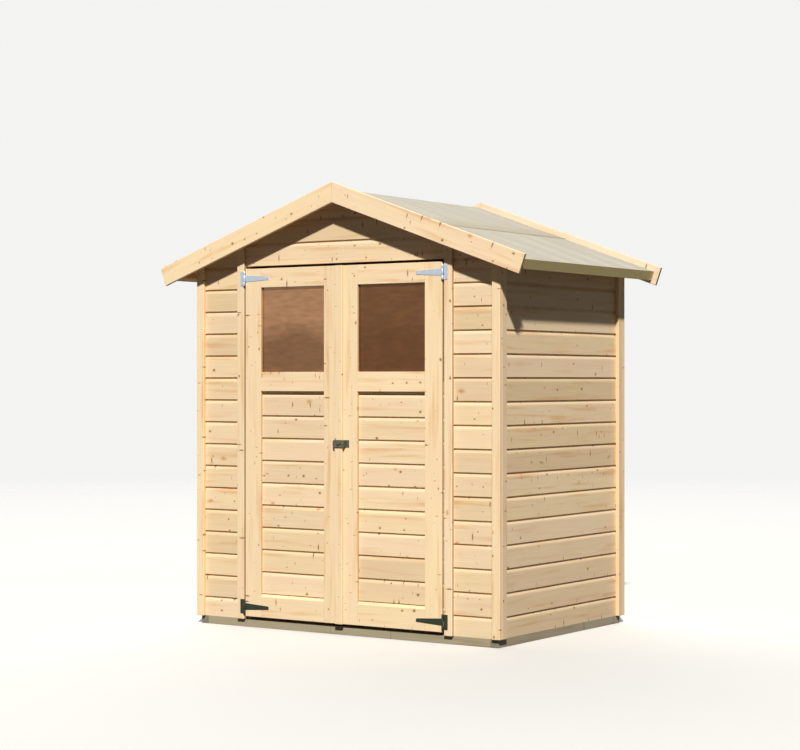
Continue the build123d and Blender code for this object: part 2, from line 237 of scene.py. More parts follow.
def knots(shader, face, cells, presence, small, large, offset):
    """Mask of knots scattered over the face of a board, one at most in each cell."""
    cell = shader.plus(shader.scaled(face, cells), offset)
    spot = shader.add(
        "ShaderNodeTexVoronoi", {"Vector": cell, "Scale": 1.0}, voronoi_dimensions="2D", feature="F1"
    )
    chance, size, _ = shader.parts(spot.outputs["Color"])
    here = shader.math("LESS_THAN", chance, presence)
    mostly_small = shader.math("POWER", size, 3.0)
    radius = shader.math("MULTIPLY", shader.spread(mostly_small, 0.0, 1.0, small, large), here)
    core = shader.spread(spot.outputs["Distance"], radius, shader.math("MULTIPLY", radius, 0.55))
    halo = shader.spread(spot.outputs["Distance"], shader.math("MULTIPLY", radius, 2.0), radius)
    return shader.math("MULTIPLY", core, here), shader.math("MULTIPLY", halo, here)


def timber(name, pale, streak, knot, end):
    """Planed softwood: growth lines, streaks, knots and end grain in each board's own direction."""
    found = bpy.data.materials.get(name)
    if found:
        return found
    shader = Shader(name)
    grain = shader.attribute("grain", "Vector")
    tone, hue, knotty = shader.parts(shader.attribute("board", "Vector"))
    wobble = shader.noise(shader.scaled(grain, (30, 60, 60)), 1.0)
    face = shader.plus(grain, shader.scaled(wobble, (0.003, 0.006, 0.0)))

    lines = shader.add(
        "ShaderNodeTexWave",
        {"Vector": shader.scaled(grain, (0.06, 1.0, 0.7)), "Scale": 34.0, "Distortion": 7.0, "Detail": 2.0,
         "Detail Scale": 0.9, "Detail Roughness": 0.55},
        wave_type="BANDS", bands_direction="Y", wave_profile="SAW",
    ).outputs["Fac"]
    fibre = shader.noise(shader.scaled(grain, (5, 170, 170)), 3.0)
    band = shader.noise(shader.scaled(grain, (1.6, 26, 26)), 2.0)
    patch = shader.noise(shader.scaled(grain, (3.0, 9, 9)), 2.0)
    mottle = shader.noise(shader.plus(shader.scaled(grain, (4.5, 14, 14)), (1.9, 6.4, 3.2)), 3.0)
    heart = shader.noise(shader.plus(shader.scaled(grain, (2.4, 34, 34)), (7.3, 2.1, 5.9)), 1.0)

    patchy = shader.spread(patch, 0.35, 0.7, 0.1, 0.34)
    late = shader.math("MULTIPLY", shader.spread(lines, 0.35, 1.0), patchy)
    tint = shader.mix(late, pale, streak)
    tint = shader.mix(shader.spread(band, 0.50, 0.78, 0.0, 0.30), tint, streak)
    rosy = tinted(streak, (1.02, 0.88, 0.78))
    tint = shader.mix(shader.spread(heart, 0.55, 0.72, 0.0, 0.75), tint, rosy)
    cool = tinted(pale, (1.0, 0.965, 1.06))
    warm = tinted(pale, (1.0, 0.97, 0.83))
    pink = tinted(pale, (1.0, 0.94, 0.95))
    yellow = tinted(pale, (1.0, 1.0, 0.88))
    tint = shader.mix(shader.spread(mottle, 0.45, 0.65, 0.0, 0.6), tint, pink)
    tint = shader.mix(shader.spread(mottle, 0.45, 0.30, 0.0, 0.5), tint, yellow)
    tint = shader.mix(shader.spread(hue, 0.0, 1.0, 0.0, 0.28), tint, warm)
    tint = shader.mix(shader.spread(hue, 0.0, -1.0, 0.0, 0.40), tint, cool)

    round_core, round_halo = knots(
        shader, face, (13.0, 17.0, 0.0), shader.spread(knotty, 0, 1, 0.18, 0.54), 0.024, 0.12, (0.0, 0.0, 0.0)
    )
    spike_core, spike_halo = knots(
        shader, face, (36.0, 8.0, 0.0), shader.spread(knotty, 0, 1, 0.06, 0.23), 0.05, 0.17, (3.7, 8.2, 0.0)
    )
    live_core, live_halo = knots(
        shader, face, (4.6, 8.0, 0.0), shader.spread(knotty, 0, 1, 0.06, 0.36), 0.030, 0.080, (11.3, 5.1, 0.0)
    )
    tint = shader.mix(shader.math("MULTIPLY", live_halo, 0.5), tint, rosy)
    live = [(a + b) / 2 for a, b in zip(streak, knot)]
    tint = shader.mix(shader.math("MULTIPLY", live_core, 0.6), tint, live)
    halo = shader.math("MAXIMUM", round_halo, spike_halo)
    core = shader.math("MAXIMUM", round_core, spike_core)
    tint = shader.mix(shader.math("MULTIPLY", halo, 0.42), tint, streak)
    tint = shader.mix(shader.math("MULTIPLY", core, 0.86), tint, knot)

    ring = shader.add(
        "ShaderNodeTexWave",
        {"Vector": shader.scaled(grain, (0.0, 1.0, 1.0)), "Scale": 60.0, "Distortion": 1.5},
        wave_type="RINGS", rings_direction="X",
    ).outputs["Fac"]
    cut = shader.mix(ring, end, [c * 0.72 for c in end])
    tint = shader.mix(shader.attribute("end", "Fac"), tint, cut)
    # Narrow faces: an orange tint, painted warm light; where edge goes above 1, painted shade darkens them as
    # well, as along the door gaps.
    edge = shader.attribute("edge", "Fac")
    tint = shader.mix(shader.spread(edge, 0.0, 1.0), tint, (1.0, 0.91, 0.77), "MULTIPLY")
    tint = shader.mix(shader.spread(edge, 1.0, 2.0), tint, (0.5, 0.5, 0.5), "MULTIPLY")
    own_tone = shader.mix(shader.spread(tone, -1, 1), (0.86, 0.85, 0.83), (1.12, 1.145, 1.20))
    tint = shader.mix(1.0, tint, own_tone, "MULTIPLY")
    tint = shader.scale_tint(tint, shader.spread(fibre, 0.2, 0.8, 0.94, 1.05))
    rough = shader.spread(fibre, 0.25, 0.75, 0.52, 0.7)
    shader.set(base_color=tint, roughness=rough, specular_ior_level=0.35)
    height = shader.math("ADD", shader.math("MULTIPLY", lines, 0.35), fibre)
    shader.bump(shader.math("SUBTRACT", height, shader.math("MULTIPLY", core, 0.8)), 0.3, 0.0004)
    return shader.material


def spruce_material():
    tints = bpy.context.scene.shed_colours
    return timber("planed_spruce", tints.spruce, tints.spruce_streak, tints.spruce_knot, tints.spruce_end)


def highlight_spruce_material():
    tints = bpy.context.scene.shed_colours
    # Painted highlight: a whiter, bluer copy of the spruce that stands for the washed-out sunlit faces of the
    # back bargeboards.
    pale = tinted(tints.spruce, (0.96, 1.0, 1.18))
    return timber("spruce_painted_highlight", pale, tints.spruce_streak, tints.spruce_knot, tints.spruce_end)


def base_material():
    tints = bpy.context.scene.shed_colours
    dark = [c * 0.4 for c in tints.base_streak]
    return timber("impregnated_beam", tints.base, tints.base_streak, dark, tints.base_streak)


def felt_material():
    """Mineral felt: fine granules, faint blotches and streaks that run down the slope, painted shade towards
    the ridge sheet's lower edge and painted warm light on the felt turned down at the eaves.
    """
    tints = bpy.context.scene.shed_colours
    shader = Shader("mineral_felt")
    place = shader.add("ShaderNodeTexCoord").outputs["Object"]
    grit = shader.add("ShaderNodeTexVoronoi", {"Vector": place, "Scale": 420.0}, feature="F1")
    shade, _, _ = shader.parts(grit.outputs["Color"])
    blotch = shader.noise(place, 4.0, 3.2)
    streak = shader.noise(shader.scaled(place, (1.4, 9.0, 1.4)), 3.0)
    wave = shader.noise(shader.scaled(place, (2.2, 1.5, 2.2)), 2.0)
    tint = shader.mix(shader.spread(shade, 0.15, 1.0), tints.felt_dark, tints.felt)
    pale = [min(1.0, c * 1.14) for c in tints.felt]
    tint = shader.mix(shader.spread(streak, 0.42, 0.7, 0.0, 0.45), tint, pale)
    tint = shader.mix(shader.spread(blotch, 0.40, 0.68, 0.0, 0.30), tint, tints.felt_dark)
    # Painted shade: the ridge sheet turns darker and more olive towards its lower edge over the lap.
    aside, _, _ = shader.parts(place)
    lap_painted_shade = shader.spread(shader.math("ABSOLUTE", aside), 0.36, 0.50, 0.0, 0.95)
    olive = tinted(tints.felt, (0.80, 0.75, 0.66))
    tint = shader.mix(shader.math("MULTIPLY", lap_painted_shade, shader.attribute("lap", "Fac")), tint, olive)
    # Painted warm light on the turned-down faces at the eaves, brighter and yellower than the roof felt.
    tint = shader.mix(shader.attribute("fold", "Fac"), tint, shader.mix(
        shader.spread(shade, 0.15, 1.0), [c * 0.85 for c in tints.felt_fold_painted_light], tints.felt_fold_painted_light))
    shader.set(base_color=tint, roughness=shader.spread(shade, 0, 1, 0.78, 0.95), specular_ior_level=0.25)
    granule = shader.spread(grit.outputs["Distance"], 0.0, 0.7, 1.0, 0.0)
    sag = shader.math("ADD", shader.math("MULTIPLY", streak, 0.4), shader.math("MULTIPLY", wave, 6.0))
    shader.bump(shader.math("ADD", granule, sag), 0.35, 0.0012)
    return shader.material


def acrylic_material():
    """Brown tinted pane: glossy, with painted reflection: faint streaks, and a lighter brown that grows
    towards the top.
    """
    tints = bpy.context.scene.shed_colours
    shader = Shader("brown_acrylic")
    place = shader.add("ShaderNodeTexCoord").outputs["Object"]
    film = shader.noise(place, 4.0, 5.0)
    _, _, height = shader.parts(place)
    level = shader.math("ADD", height, shader.spread(film, 0.3, 0.7, -0.05, 0.05))
    # Painted reflection: lighter towards the top, stronger on the left pane, with faint streaks.
    upper_reflection = shader.spread(level, 1.44, 1.55, 0.38, 1.0)
    painted_reflection = shader.math("MULTIPLY", upper_reflection, shader.attribute("painted_reflection", "Fac"))
    reflection_streaks = shader.noise(shader.scaled(place, (16.0, 16.0, 62.0)), 4.0)
    tint = shader.mix(painted_reflection, tints.acrylic, tints.acrylic_painted_reflection)
    shader.set(
        base_color=shader.scale_tint(tint, shader.spread(reflection_streaks, 0.3, 0.7, 0.84, 1.12)), metallic=0.55,
        roughness=shader.spread(film, 0.3, 0.7, 0.04, 0.12), alpha=0.8, ior=1.49,
    )
    return shader.material


def steel(name, tint, roughness, metallic):
    """Plated or painted sheet steel with a faint mottle and rubbed patches."""
    found = bpy.data.materials.get(name)
    if found:
        return found
    shader = Shader(name)
    place = shader.add("ShaderNodeTexCoord").outputs["Object"]
    flake = shader.add("ShaderNodeTexVoronoi", {"Vector": place, "Scale": 260.0}, feature="F1")
    shade, _, _ = shader.parts(flake.outputs["Color"])
    rub = shader.noise(place, 4.0, 90.0)
    dull = shader.mix(shader.spread(shade, 0, 1, 0.0, 0.5), tint, [c * 0.78 for c in tint])
    worn = shader.mix(shader.spread(rub, 0.55, 0.75, 0.0, 0.4), dull, [min(1.0, c * 1.35) for c in tint])
    rough = shader.spread(rub, 0.3, 0.7, roughness - 0.07, roughness + 0.1)
    shader.set(base_color=worn, metallic=metallic, roughness=rough)
    shader.bump(rub, 0.12, 0.0003)
    return shader.material


def merged(node):
    """A copy of a CAD node's mesh with its loose triangles joined into whole faces."""
    bm = bmesh.new()
    bm.from_mesh(frame["nodes"][node].data)
    bmesh.ops.remove_doubles(bm, verts=bm.verts, dist=1e-5)
    bmesh.ops.dissolve_limit(bm, angle_limit=math.radians(0.5), verts=bm.verts, edges=bm.edges)
    return bm


def ease_edges(bm, width, least_angle, segments=2):
    """Round every edge sharper than an angle."""
    edges = [e for e in bm.edges if len(e.link_faces) == 2 and e.calc_face_angle() > least_angle]
    bmesh.ops.bevel(
        bm, geom=edges, offset=width, offset_type="OFFSET", segments=segments, profile=0.5, affect="EDGES",
        clamp_overlap=True,
    )


def islands(mesh):
    """Number of the loose piece that each vertex belongs to."""
    parent = np.arange(len(mesh.vertices))
    ends = np.empty(len(mesh.edges) * 2, np.int32)
    mesh.edges.foreach_get("vertices", ends)
    ends = ends.reshape(-1, 2)
    while True:
        low = np.minimum(parent[ends[:, 0]], parent[ends[:, 1]])
        before = parent.copy()
        np.minimum.at(parent, ends[:, 0], low)
        np.minimum.at(parent, ends[:, 1], low)
        parent = parent[parent]
        if (parent == before).all():
            break
    return np.unique(parent, return_inverse=True)[1]


def lay_grain(mesh, seed_text, run=None, tones=(-0.9, 0.5), edge=1.0, knotty=(0.0, 1.0)):
    """Give each loose piece of timber its own grain coordinates, tone, hue, knottiness and cut ends."""
    draw = random.Random(f"{seed_text}{bpy.context.scene.shed_sizes.seed}")
    count = len(mesh.vertices)
    places = np.empty(count * 3, np.float32)
    mesh.vertices.foreach_get("co", places)
    places = places.reshape(-1, 3).astype(float)
    member = islands(mesh)
    grain = np.zeros((count, 3), np.float32)
    board = np.zeros((count, 3), np.float32)
    runs = []
    for number in range(member.max() + 1):
        mine = places[member == number]
        span = mine.max(0) - mine.min(0)
        along = np.array(run if run is not None else np.eye(3)[int(span.argmax())], float)
        sides = []
        for axis in np.eye(3)[[1, 2, 0]]:
            side = axis - along * (axis @ along)
            if np.linalg.norm(side) > 0.9 and not any(abs(side @ s) > 0.5 for s in sides):
                sides.append(side / np.linalg.norm(side))
        if len(sides) == 1:
            sides.append(np.cross(along, sides[0]))
        sides.sort(key=lambda s: -np.ptp(mine @ s))
        axes = np.stack([along, sides[0], sides[1]])
        local = (mine - mine.mean(0)) @ axes.T
        grain[member == number] = local + [draw.uniform(3, 60) for _ in range(3)]
        board[member == number] = [draw.uniform(*tones), draw.uniform(-1, 1), draw.uniform(*knotty)]
        runs.append((Vector(along), Vector(axes[1])))
    for name, values in (("grain", grain), ("board", board)):
        mesh.attributes.new(name, "FLOAT_VECTOR", "POINT").data.foreach_set("vector", values.ravel())
    # The edge value marks each piece's narrow faces for the painted warm light, and above 1 for painted shade
    # too.
    for name, axis, most in (("end", 0, 1.0), ("edge", 1, edge)):
        facing = []
        for face in mesh.polygons:
            own = runs[member[face.vertices[0]]][axis]
            facing.append(most * (abs(own.dot(face.normal)) > 0.8))
        mesh.attributes.new(name, "FLOAT", "FACE").data.foreach_set("value", facing)


def place_piece(name, mesh, materials, nodes, body=None):
    """Make the finished piece, ride it on its body and let it stand for the CAD nodes."""
    piece = bpy.data.objects.new(name, mesh)
    bpy.context.scene.collection.objects.link(piece)
    mesh.materials.clear()
    for material in materials:
        mesh.materials.append(material)
    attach(piece, body or BODY_OF[nodes[0]])
    if nodes:
        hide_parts(*nodes)
    return piece


def mesh_from(bm, name):
    """A mesh from a bmesh, which is freed."""
    mesh = bpy.data.meshes.new(name)
    bm.to_mesh(mesh)
    bm.free()
    if "custom_normal" in mesh.attributes:
        mesh.attributes.remove(mesh.attributes["custom_normal"])
    return mesh


def smooth(mesh, angle=0.6, flat_area=0.0003):
    """Shade a mesh smooth, with edges sharper than an angle and large flat faces kept."""
    mesh.set_sharp_from_angle(angle=angle)
    mesh.polygons.foreach_set("use_smooth", [p.area < flat_area for p in mesh.polygons])


def group_tree(name, sockets):
    """An empty Geometry Nodes tree with named inputs. Returns the tree, its input and its output node."""
    tree = bpy.data.node_groups.new(name, "GeometryNodeTree")
    tree.interface.new_socket("Geometry", in_out="OUTPUT", socket_type="NodeSocketGeometry")
    tree.interface.new_socket("Geometry", in_out="INPUT", socket_type="NodeSocketGeometry")
    for label, kind in sockets:
        tree.interface.new_socket(label, in_out="INPUT", socket_type="NodeSocket" + kind)
    return tree, tree.nodes.new("NodeGroupInput"), tree.nodes.new("NodeGroupOutput")


def board_row_tree():
    """Boards side by side: the outline is drawn out along the run and repeated at each step."""
    found = bpy.data.node_groups.get("Board row")
    if found:
        return found
    sockets = (("Run", "Vector"), ("Step", "Vector"), ("Count", "Int"), ("Material", "Material"))
    tree, given, result = group_tree("Board row", sockets)
    extrude = tree.nodes.new("GeometryNodeExtrudeMesh")
    extrude.mode = "FACES"
    flip = tree.nodes.new("GeometryNodeFlipFaces")
    join = tree.nodes.new("GeometryNodeJoinGeometry")
    weld = tree.nodes.new("GeometryNodeMergeByDistance")
    weld.inputs["Distance"].default_value = 1e-6
    line = tree.nodes.new("GeometryNodeMeshLine")
    line.mode = "OFFSET"
    repeat = tree.nodes.new("GeometryNodeInstanceOnPoints")
    realize = tree.nodes.new("GeometryNodeRealizeInstances")
    finish = tree.nodes.new("GeometryNodeSetMaterial")
    link = tree.links.new
    extrude.inputs["Offset Scale"].default_value = 1.0
    link(given.outputs["Geometry"], extrude.inputs["Mesh"])
    link(given.outputs["Run"], extrude.inputs["Offset"])
    link(given.outputs["Geometry"], flip.inputs["Mesh"])
    link(extrude.outputs["Mesh"], join.inputs[0])
    link(flip.outputs["Mesh"], join.inputs[0])
    link(join.outputs[0], weld.inputs["Geometry"])
    link(given.outputs["Count"], line.inputs["Count"])
    link(given.outputs["Step"], line.inputs["Offset"])
    link(line.outputs["Mesh"], repeat.inputs["Points"])
    link(weld.outputs["Geometry"], repeat.inputs["Instance"])
    link(repeat.outputs["Instances"], realize.inputs["Geometry"])
    link(realize.outputs["Geometry"], finish.inputs["Geometry"])
    link(given.outputs["Material"], finish.inputs["Material"])
    link(finish.outputs["Geometry"], result.inputs[0])
    return tree


def fastener_tree():
    """A head on every point, turned to the point's aim, with a seeded twist."""
    found = bpy.data.node_groups.get("Fasteners")
    if found:
        return found
    sockets = (("Head", "Object"), ("Diameter", "Float"), ("Seed", "Int"), ("Material", "Material"))
    tree, given, result = group_tree("Fasteners", sockets)
    aim = tree.nodes.new("GeometryNodeInputNamedAttribute")
    aim.data_type = "FLOAT_VECTOR"
    aim.inputs["Name"].default_value = "aim"
    turn = tree.nodes.new("FunctionNodeAlignRotationToVector")
    turn.axis = "Z"
    spin = tree.nodes.new("FunctionNodeRandomValue")
    spin.data_type = "FLOAT"
    spin.inputs[2].default_value, spin.inputs[3].default_value = 0.0, math.tau
    twist = tree.nodes.new("FunctionNodeAxisAngleToRotation")
    both = tree.nodes.new("FunctionNodeRotateRotation")
    both.rotation_space = "LOCAL"
    head = tree.nodes.new("GeometryNodeObjectInfo")
    repeat = tree.nodes.new("GeometryNodeInstanceOnPoints")
    realize = tree.nodes.new("GeometryNodeRealizeInstances")
    finish = tree.nodes.new("GeometryNodeSetMaterial")
    link = tree.links.new
    link(aim.outputs[0], turn.inputs["Vector"])
    link(given.outputs["Seed"], spin.inputs["Seed"])
    link(spin.outputs[1], twist.inputs["Angle"])
    link(turn.outputs[0], both.inputs[0])
    link(twist.outputs[0], both.inputs[1])
    link(given.outputs["Head"], head.inputs["Object"])
    link(given.outputs["Geometry"], repeat.inputs["Points"])
    link(head.outputs["Geometry"], repeat.inputs["Instance"])
    link(both.outputs[0], repeat.inputs["Rotation"])
    link(given.outputs["Diameter"], repeat.inputs["Scale"])
    link(repeat.outputs["Instances"], realize.inputs["Geometry"])
    link(realize.outputs["Geometry"], finish.inputs["Geometry"])
    link(given.outputs["Material"], finish.inputs["Material"])
    link(finish.outputs["Geometry"], result.inputs[0])
    return tree


def run_tree(tree, mesh, values, name):
    """The plain mesh that a Geometry Nodes tree makes from a mesh and named inputs."""
    holder = bpy.data.objects.new(name + "_source", mesh)
    bpy.context.scene.collection.objects.link(holder)
    modifier = holder.modifiers.new(tree.name, "NODES")
    modifier.node_group = tree
    for item in tree.interface.items_tree:
        if item.in_out == "INPUT" and item.name in values:
            modifier[item.identifier] = values[item.name]
    bpy.context.view_layer.update()
    made = bpy.data.meshes.new_from_object(holder.evaluated_get(bpy.context.evaluated_depsgraph_get()))
    made.name = name
    bpy.data.objects.remove(holder)
    bpy.data.meshes.remove(mesh)
    if not made.polygons:
        raise RuntimeError(f"{name}: the tree {tree.name} made nothing")
    return made


def wall_outline(thickness):
    """Section of a wall board: (depth from the outer face, height) of its corners."""
    size = bpy.context.scene.shed_sizes
    cover, lip, inner = size.board_cover - 0.0002, 0.0012, 0.0022
    foot = cover - size.groove_height
    shoulder = foot - size.slope_height
    return [
        (lip, 0.0), (0.0, lip), (0.0, shoulder),
        (0.18 * size.slope_depth, shoulder + 0.4 * size.slope_height), (size.slope_depth, foot),
        (size.groove_depth, foot), (size.groove_depth, cover),
        (thickness - inner, cover), (thickness, cover - inner),
        (thickness, inner), (thickness - inner, 0.0),
    ]


def vee_outline(thickness, cover, vee):
    """Section of a plain matched board with a small V at its visible joints."""
    gap = 0.0002
    return [
        (vee, gap), (0.0, gap + vee), (0.0, cover - gap - vee), (vee, cover - gap),
        (thickness, cover - gap), (thickness, gap),
    ]


def cut_to_node(bm, node, depth):
    """Cut the boards to the flat sides of the CAD node that they stand for, and close the cuts."""
    shape = merged(node)
    for side in shape.faces:
        if abs(side.normal.dot(depth)) > 0.99:
            continue
        geometry = bm.verts[:] + bm.edges[:] + bm.faces[:]
        cut = bmesh.ops.bisect_plane(
            bm, geom=geometry, plane_co=side.calc_center_median(), plane_no=side.normal, clear_outer=True,
            dist=1e-6,
        )
        rims = [e for e in cut["geom_cut"] if isinstance(e, bmesh.types.BMEdge) and e.is_boundary]
        bmesh.ops.holes_fill(bm, edges=rims, sides=0)
    shape.free()
    bmesh.ops.recalc_face_normals(bm, faces=bm.faces)


def lay_boards(node, outline, corner, depth, step, run, count, cover):
    """A row of boards in the place of a CAD node, from the first board's corner, depth into the wall."""
    name = node + "_boarding"
    section = bpy.data.meshes.new(name + "_section")
    section.from_pydata([corner + depth * d + step * h for d, h in outline], [], [range(len(outline))])
    values = {"Run": run, "Step": step * cover, "Count": count, "Material": spruce_material()}
    made = run_tree(board_row_tree(), section, values, name)
    bm = bmesh.new()
    bm.from_mesh(made)
    bpy.data.meshes.remove(made)
    cut_to_node(bm, node, depth)
    mesh = mesh_from(bm, name)
    lay_grain(mesh, node, run.normalized())
    return place_piece(name, mesh, [spruce_material()], [node])


def lay_wall(node, depth, start):
    """Profiled boards, one above the other, in the place of an upright CAD node."""
    size = bpy.context.scene.shed_sizes
    low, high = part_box(node)
    over = 0.03
    run_axis = X if abs(depth.y) > 0.5 else Y
    first = math.floor((low.z - start) / size.board_cover)
    count = math.ceil((high.z - start) / size.board_cover) - first
    face = Vector((low.x if depth.x > 0 else high.x, low.y if depth.y > 0 else high.y, 0))
    corner = Vector((face.x, face.y, start + first * size.board_cover))
    if run_axis is X:
        corner.x, reach, thickness = low.x - over, high.x - low.x, high.y - low.y
    else:
        corner.y, reach, thickness = low.y - over, high.y - low.y, high.x - low.x
    run = run_axis * (reach + 2 * over)
    lay_boards(node, wall_outline(thickness), corner, depth, Z, run, count, size.board_cover)


def dress_timber(node, run=None, material=None, inset=0.0, tones=(0.3, 1.0), edge=1.0,
                 knotty=(0.3, 1.0)):
    """A timber CAD node with eased edges, grain along each piece and cut ends."""
    bm = merged(node)
    ease_edges(bm, bpy.context.scene.shed_sizes.arris, math.radians(50))
    if inset:
        middle = sum(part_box(node), Vector()).y / 2
        for vert in bm.verts:
            vert.co.y += inset if vert.co.y < middle else -inset
    mesh = mesh_from(bm, node + "_timber")
    smooth(mesh, flat_area=0.0)
    lay_grain(mesh, node, run, tones, edge, knotty)
    return place_piece(node + "_timber", mesh, [material or spruce_material()], [node])


def nail_head_mesh():
    """Low domed nail head of unit diameter, its rim just sunk in the wood."""
    bm = bmesh.new()
    rings = []
    for radius, rise in ((0.5, -0.06), (0.46, 0.02), (0.3, 0.055), (0.12, 0.07)):
        ring = [bm.verts.new((radius * math.cos(a), radius * math.sin(a), rise))
                for a in (math.tau * i / 12 for i in range(12))]
        rings.append(ring)
    for below, above in zip(rings, rings[1:]):
        for i in range(12):
            j = (i + 1) % 12
            bm.faces.new((below[i], below[j], above[j], above[i]))
    bm.faces.new(rings[-1])
    bm.faces.new(list(reversed(rings[0])))
    return mesh_from(bm, "nail_head")


def screw_head_mesh():
    """Countersunk screw head of unit diameter with a cross recess."""
    bm = bmesh.new()
    arm, half = 0.27, 0.07
    cross = [(half, half), (half, arm), (-half, arm), (-half, half), (-arm, half), (-arm, -half),
             (-half, -half), (-half, -arm), (half, -arm), (half, -half), (arm, -half), (arm, half)]
    angles = [math.atan2(y, x) for x, y in cross]
    foot = [bm.verts.new((0.5 * math.cos(a), 0.5 * math.sin(a), -0.05)) for a in angles]
    rim = [bm.verts.new((0.48 * math.cos(a), 0.48 * math.sin(a), 0.03)) for a in angles]
    lip = [bm.verts.new((x, y, 0.085)) for x, y in cross]
    pit = [bm.verts.new((x * 0.8, y * 0.8, -0.03)) for x, y in cross]
    for below, above in ((foot, rim), (rim, lip), (lip, pit)):
        for i in range(12):
            j = (i + 1) % 12
            bm.faces.new((below[i], below[j], above[j], above[i]))
    bm.faces.new(pit)
    bm.faces.new(list(reversed(foot)))
    bmesh.ops.recalc_face_normals(bm, faces=bm.faces)
    return mesh_from(bm, "screw_head")


def set_fasteners(name, head_mesh, spots, diameter, material, body):
    """Heads at (place, aim) spots on one body."""
    head = bpy.data.objects.new("head_pattern", head_mesh)
    points = bpy.data.meshes.new(name + "_points")
    points.from_pydata([place for place, _ in spots], [], [])
    aims = points.attributes.new("aim", "FLOAT_VECTOR", "POINT")
    aims.data.foreach_set("vector", [c for _, aim in spots for c in aim])
    values = {"Head": head, "Diameter": diameter, "Seed": 11, "Material": material}
    mesh = run_tree(fastener_tree(), points, values, name)
    bpy.data.objects.remove(head)
    bpy.data.meshes.remove(head_mesh)
    for extra in [a.name for a in mesh.attributes if a.name == "aim"]:
        mesh.attributes.remove(mesh.attributes[extra])
    smooth(mesh, 0.5)
    return place_piece(name, mesh, [material], [], body)


def dress_metal(node, materials, pick):
    """A metal CAD node with rounded edges. pick(height) gives the finish of each face."""
    bm = merged(node)
    ease_edges(bm, bpy.context.scene.shed_sizes.metal_edge, math.radians(40))
    for face in bm.faces:
        face.material_index = pick(face.calc_center_median().z)
    mesh = mesh_from(bm, node + "_metal")
    indices = [p.material_index for p in mesh.polygons]
    smooth(mesh)
    piece = place_piece(node + "_metal", mesh, materials, [node])
    mesh.polygons.foreach_set("material_index", indices)
    return piece


class SHED_OT_walls(bpy.types.Operator):
    """Profiled boards of the walls and gables"""

    bl_idname = "shed.walls"
    bl_label = "Walls and gables"

    def execute(self, context):
        start = context.scene.shed_sizes.board_start
        for node in ("front_wall_left", "front_wall_right", "front_gable"):
            lay_wall(node, Y, start)
        for node in ("back_wall", "back_gable"):
            lay_wall(node, -Y, start)
        lay_wall("left_wall", X, start)
        lay_wall("right_wall", -X, start)
        return {"FINISHED"}


class SHED_OT_floor_and_deck(bpy.types.Operator):
    """Floor boards, and roof boards whose joints show from inside and under the eaves"""

    bl_idname = "shed.floor_and_deck"
    bl_label = "Floor and roof boards"

    def execute(self, context):
        size = context.scene.shed_sizes
        low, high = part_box("floor")
        count = math.ceil((high.y - low.y) / size.floor_cover)
        outline = vee_outline(high.z - low.z, size.floor_cover, 0.0008)
        corner = Vector((low.x - 0.03, low.y, high.z))
        lay_boards("floor", outline, corner, -Z, Y, X * (high.x - low.x + 0.06), count, size.floor_cover)
        for node, down in (("roof_deck_left", DOWN_LEFT), ("roof_deck_right", DOWN_RIGHT)):
            low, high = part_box(node)
            up = Vector((-down.z * (1 if down.x > 0 else -1), 0, abs(down.x)))
            shape = merged(node)
            under = next(f for f in shape.faces if f.normal.dot(up) < -0.99).calc_center_median()
            over = next(f for f in shape.faces if f.normal.dot(up) > 0.99).calc_center_median()
            shape.free()
            thickness = (over - under).dot(up)
            ridge = under - down * (under.x / down.x)
            corner = Vector((ridge.x, low.y - 0.03, ridge.z)) - down * 0.04
            count = math.ceil((abs(high.x - low.x) / abs(down.x) + 0.08) / size.deck_cover)
            lay_boards(
                node, vee_outline(thickness, size.deck_cover, 0.003), corner, up, down,
                Y * (high.y - low.y + 0.06), count, size.deck_cover,
            )
        return {"FINISHED"}


class SHED_OT_framing(bpy.types.Operator):
    """Base beams, joists, posts, plates, rails and ridge beam"""

    bl_idname = "shed.framing"
    bl_label = "Base and inner frame"

    def execute(self, context):
        for node in ("base_side_beams", "base_cross_beams", "floor_joists"):
            dress_timber(node, None, base_material(), tones=(-0.6, 0.6))
        for node in ("wall_posts", "side_wall_plates", "gable_rails", "ridge_beam"):
            dress_timber(node, tones=(-0.6, 0.6))
        return {"FINISHED"}


class SHED_OT_trims(bpy.types.Operator):
    """Corner trims, door trims, eaves battens and bargeboards"""

    bl_idname = "shed.trims"
    bl_label = "Trims and bargeboards"

    def execute(self, context):
        for node in ("front_corner_trims", "back_corner_trims", "eaves_battens"):
            dress_timber(node)
        # Edge 1.85 adds painted shade to the narrow faces of the door jamb trims, along the door gaps.
        dress_timber("door_jamb_trims", edge=1.85)
        dress_timber("side_corner_trims", tones=(-0.5, 0.3))
        for side, run in (("left", DOWN_LEFT), ("right", DOWN_RIGHT)):
            dress_timber(f"front_bargeboard_{side}", run, inset=0.0005, tones=(0.8, 1.0), edge=0.0)
            # The back bargeboards wear spruce with a painted highlight.
            dress_timber(
                f"back_bargeboard_{side}", run, highlight_spruce_material(), inset=0.0005, tones=(0.1, 0.4),
                edge=0.0,
            )
        return {"FINISHED"}


